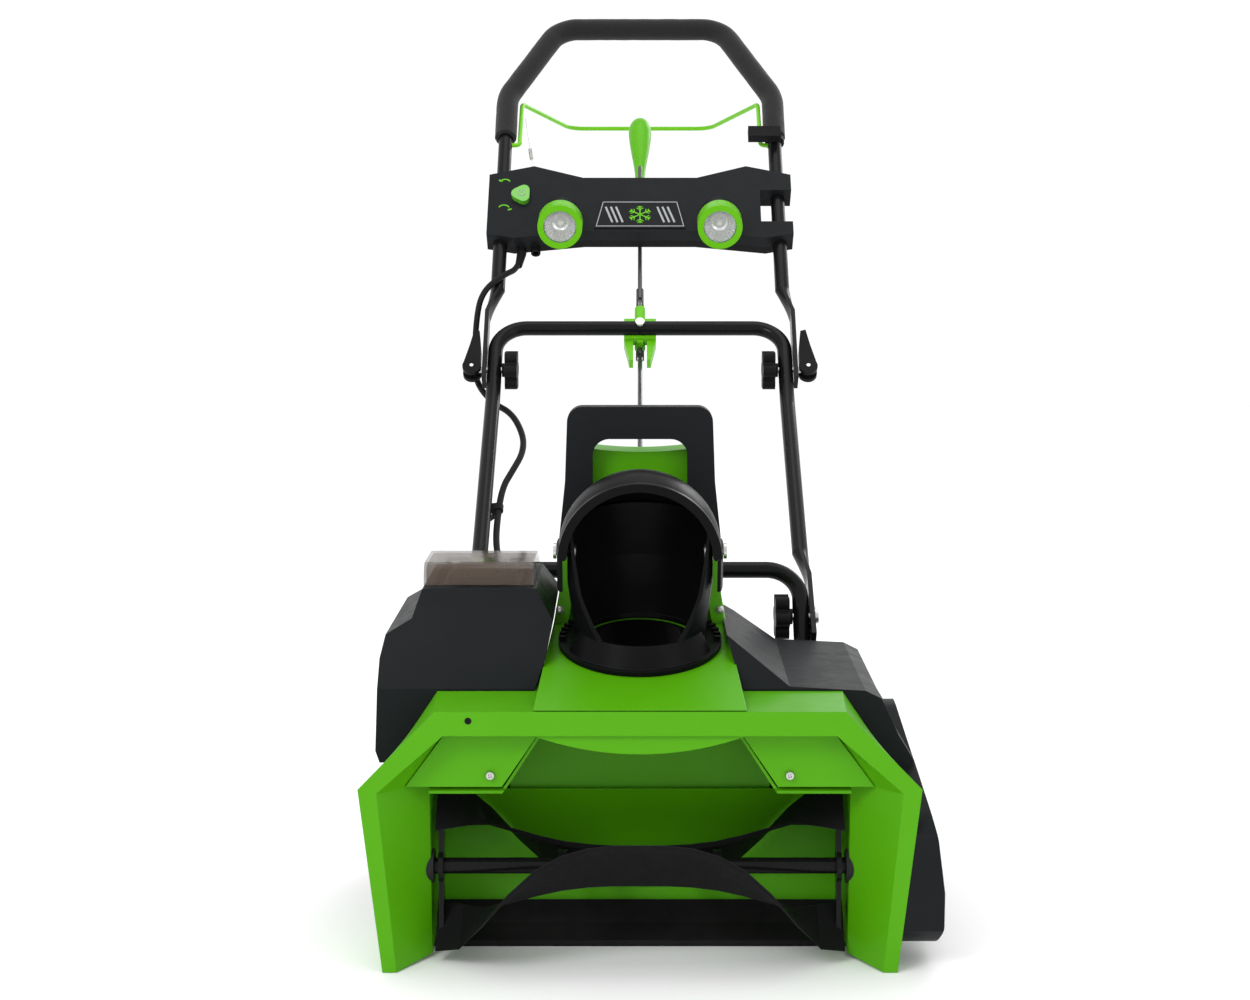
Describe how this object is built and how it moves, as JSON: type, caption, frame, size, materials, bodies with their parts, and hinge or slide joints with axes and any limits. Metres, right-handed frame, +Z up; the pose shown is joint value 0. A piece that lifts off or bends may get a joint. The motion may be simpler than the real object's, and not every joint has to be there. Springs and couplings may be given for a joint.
{
  "type": "battery snow thrower",
  "caption": "Folding single-stage battery snow thrower with turning chute, paddle auger, crank rod, bail and headlamps.",
  "frame": {"origin": "middle of the scraper bar's bottom face, on the ground", "axes": "+Z up, +Y back towards the operator, +X to the right as seen from the front"},
  "size_m": [0.57, 1.2646, 1.0139],
  "materials": {
    "green_body": "satin moulded, bright green",
    "black_cover": "fine textured, black",
    "charcoal_shell": "fine textured, charcoal",
    "chute_black": "satin moulded, black",
    "scraper_plastic": "hard wearing, black",
    "steel_black": "semi-gloss powder coat, black",
    "rod_steel": "zinc plated",
    "lever_green": "dipped coating, green",
    "cam_plastic": "moulded, black",
    "knob_plastic": "moulded, black",
    "grip_green": "moulded, green",
    "foam": "closed cell foam",
    "paddle_rubber": "reinforced rubber",
    "tread_rubber": "hard rubber tread",
    "rim_plastic": "moulded, dark grey",
    "zinc_steel": "zinc plated",
    "bearing_plastic": "moulded nylon",
    "motor_metal": "cast",
    "belt": "ribbed",
    "pack_plastic": "moulded, black",
    "smoke_lid": "polished, smoked",
    "lens": "clear",
    "reflector": "vacuum metallised",
    "trim_green": "moulded, green",
    "button_green": "moulded, green",
    "cable_rubber": "smooth jacket"
  },
  "bodies": {
    "chassis": {"front_hood": "green_body", "scroll_liner": "green_body", "side_baffles": "green_body", "scraper_bar": "scraper_plastic", "auger_bearings": "bearing_plastic", "rear_cover": "charcoal_shell", "battery_housing": "charcoal_shell", "battery_dock": "black_cover", "battery_pack": "pack_plastic", "motor_cover": "charcoal_shell", "belt_cover": "charcoal_shell", "motor": "motor_metal", "drive_belt": "belt", "chute_tower": "green_body", "carry_handle": "charcoal_shell", "wheel_axle": "zinc_steel", "lower_frame": "steel_black", "mid_handle": "steel_black", "handle_bolts": "zinc_steel", "rod_bracket": "trim_green", "housing_screws": "zinc_steel", "cable_clip": "knob_plastic", "power_cable_lower": "cable_rubber"},
    "auger": {"auger_shaft": "steel_black", "auger_paddles": "paddle_rubber", "paddle_brackets": "steel_black", "auger_pulley": "bearing_plastic"},
    "motor_rotor": {"motor_pulley": "bearing_plastic"},
    "left_wheel": {"left_tyre": "tread_rubber", "left_rim": "rim_plastic"},
    "right_wheel": {"right_tyre": "tread_rubber", "right_rim": "rim_plastic"},
    "chute": {"chute": "chute_black", "deflector_pins": "zinc_steel"},
    "deflector": {"deflector": "chute_black"},
    "lower_rod": {"lower_rod": "rod_steel", "chute_pinion": "knob_plastic"},
    "rod_stub": {"rod_stub": "rod_steel"},
    "upper_rod": {"upper_rod": "rod_steel"},
    "crank_grip": {"crank_grip": "grip_green"},
    "upper_handle": {"upper_handle": "steel_black", "foam_grip": "foam", "light_bar_front": "charcoal_shell", "light_bar_back": "black_cover", "lamp_bezels": "trim_green", "lamp_reflectors": "reflector", "lamp_lenses": "lens", "bail_stop": "black_cover", "power_cable_upper": "cable_rubber", "power_cable_loop": "cable_rubber"},
    "start_button": {"start_button": "button_green"},
    "bail": {"bail": "lever_green", "bail_wire": "rod_steel"},
    "left_cam_lever": {"left_cam_lever": "cam_plastic"},
    "right_cam_lever": {"right_cam_lever": "cam_plastic"},
    "left_upper_knob": {"left_upper_knob": "knob_plastic"},
    "right_upper_knob": {"right_upper_knob": "knob_plastic"},
    "left_lower_knob": {"left_lower_knob": "knob_plastic"},
    "right_lower_knob": {"right_lower_knob": "knob_plastic"},
    "battery_lid": {"battery_lid": "smoke_lid"}
  },
  "joints": [
    {"name": "auger_spin", "type": "hinge", "parent": "chassis", "child": "auger", "pos_m": [0, -0.028, 0.09], "axis": [1, 0, 0], "continuous": true},
    {"name": "motor_spin", "type": "hinge", "parent": "chassis", "child": "motor_rotor", "pos_m": [0.262, 0.112, 0.176], "axis": [1, 0, 0], "continuous": true},
    {"name": "left_wheel_spin", "type": "hinge", "parent": "chassis", "child": "left_wheel", "pos_m": [-0.231, 0.225, 0.089], "axis": [1, 0, 0], "continuous": true},
    {"name": "right_wheel_spin", "type": "hinge", "parent": "chassis", "child": "right_wheel", "pos_m": [0.231, 0.225, 0.089], "axis": [1, 0, 0], "continuous": true},
    {"name": "chute_rotate", "type": "hinge", "parent": "chassis", "child": "chute", "pos_m": [0, 0.07, 0.29636], "axis": [0, -0.2164, 0.9763], "range_deg": [-90, 90]},
    {"name": "lower_rod_turn", "type": "hinge", "parent": "chassis", "child": "lower_rod", "pos_m": [0, 0.13909, 0.34006], "axis": [0, 0.9397, 0.342], "range_deg": [-360, 360]},
    {"name": "stub_turn", "type": "hinge", "parent": "chassis", "child": "rod_stub", "pos_m": [0, 0.67244, 0.51551], "axis": [0, 0.6871, 0.7266], "range_deg": [-360, 360]},
    {"name": "upper_rod_turn", "type": "hinge", "parent": "upper_handle", "child": "upper_rod", "pos_m": [0, 0.67244, 0.51551], "axis": [0, 0.6871, 0.7266], "range_deg": [-360, 360]},
    {"name": "crank_grip_spin", "type": "hinge", "parent": "upper_rod", "child": "crank_grip", "pos_m": [0, 0.9731, 0.76796], "axis": [0, 0.6871, 0.7266], "continuous": true},
    {"name": "deflector_tilt", "type": "hinge", "parent": "chute", "child": "deflector", "pos_m": [0, 0.04792, 0.39594], "axis": [1, 0, 0], "range_deg": [0, 40]},
    {"name": "upper_fold", "type": "hinge", "parent": "chassis", "child": "upper_handle", "pos_m": [0, 0.655, 0.532], "axis": [-1, 0, 0], "range_deg": [0, 90], "deforming": ["power_cable_loop"]},
    {"name": "bail_squeeze", "type": "hinge", "parent": "upper_handle", "child": "bail", "pos_m": [0, 0.93327, 0.82626], "axis": [1, 0, 0], "range_deg": [0, 32], "stiffness_Nm_per_rad": 0.8, "springref_deg": -20.05, "deforming": ["bail_wire"]},
    {"name": "start_button_press", "type": "slide", "parent": "upper_handle", "child": "start_button", "axis": [0, 0.7266, -0.6871], "range_m": [0, 0.004], "stiffness_N_per_m": 600, "springref_m": -0.002},
    {"name": "battery_lid_open", "type": "hinge", "parent": "chassis", "child": "battery_lid", "pos_m": [-0.165, 0.203, 0.3608], "axis": [-1, 0, 0], "range_deg": [0, 100]},
    {"name": "left_cam_turn", "type": "hinge", "parent": "chassis", "child": "left_cam_lever", "pos_m": [-0.217, 0.655, 0.532], "axis": [0, -0.7266, 0.6871], "range_deg": [0, 120]},
    {"name": "right_cam_turn", "type": "hinge", "parent": "chassis", "child": "right_cam_lever", "pos_m": [0.217, 0.655, 0.532], "axis": [0, 0.7266, -0.6871], "range_deg": [0, 120]},
    {"name": "left_upper_knob_turn", "type": "hinge", "parent": "chassis", "child": "left_upper_knob", "pos_m": [-0.17, 0.655, 0.532], "axis": [1, 0, 0], "continuous": true},
    {"name": "right_upper_knob_turn", "type": "hinge", "parent": "chassis", "child": "right_upper_knob", "pos_m": [0.17, 0.655, 0.532], "axis": [1, 0, 0], "continuous": true},
    {"name": "left_lower_knob_turn", "type": "hinge", "parent": "chassis", "child": "left_lower_knob", "pos_m": [-0.165, 0.291, 0.28], "axis": [1, 0, 0], "continuous": true},
    {"name": "right_lower_knob_turn", "type": "hinge", "parent": "chassis", "child": "right_lower_knob", "pos_m": [0.165, 0.291, 0.28], "axis": [1, 0, 0], "continuous": true}
  ],
  "couplings": [
    {"joint": "motor_spin", "follows": "auger_spin", "ratio": 3.5},
    {"joint": "lower_rod_turn", "follows": "chute_rotate", "ratio": 4},
    {"joint": "stub_turn", "follows": "chute_rotate", "ratio": 4},
    {"joint": "upper_rod_turn", "follows": "chute_rotate", "ratio": 4}
  ]
}
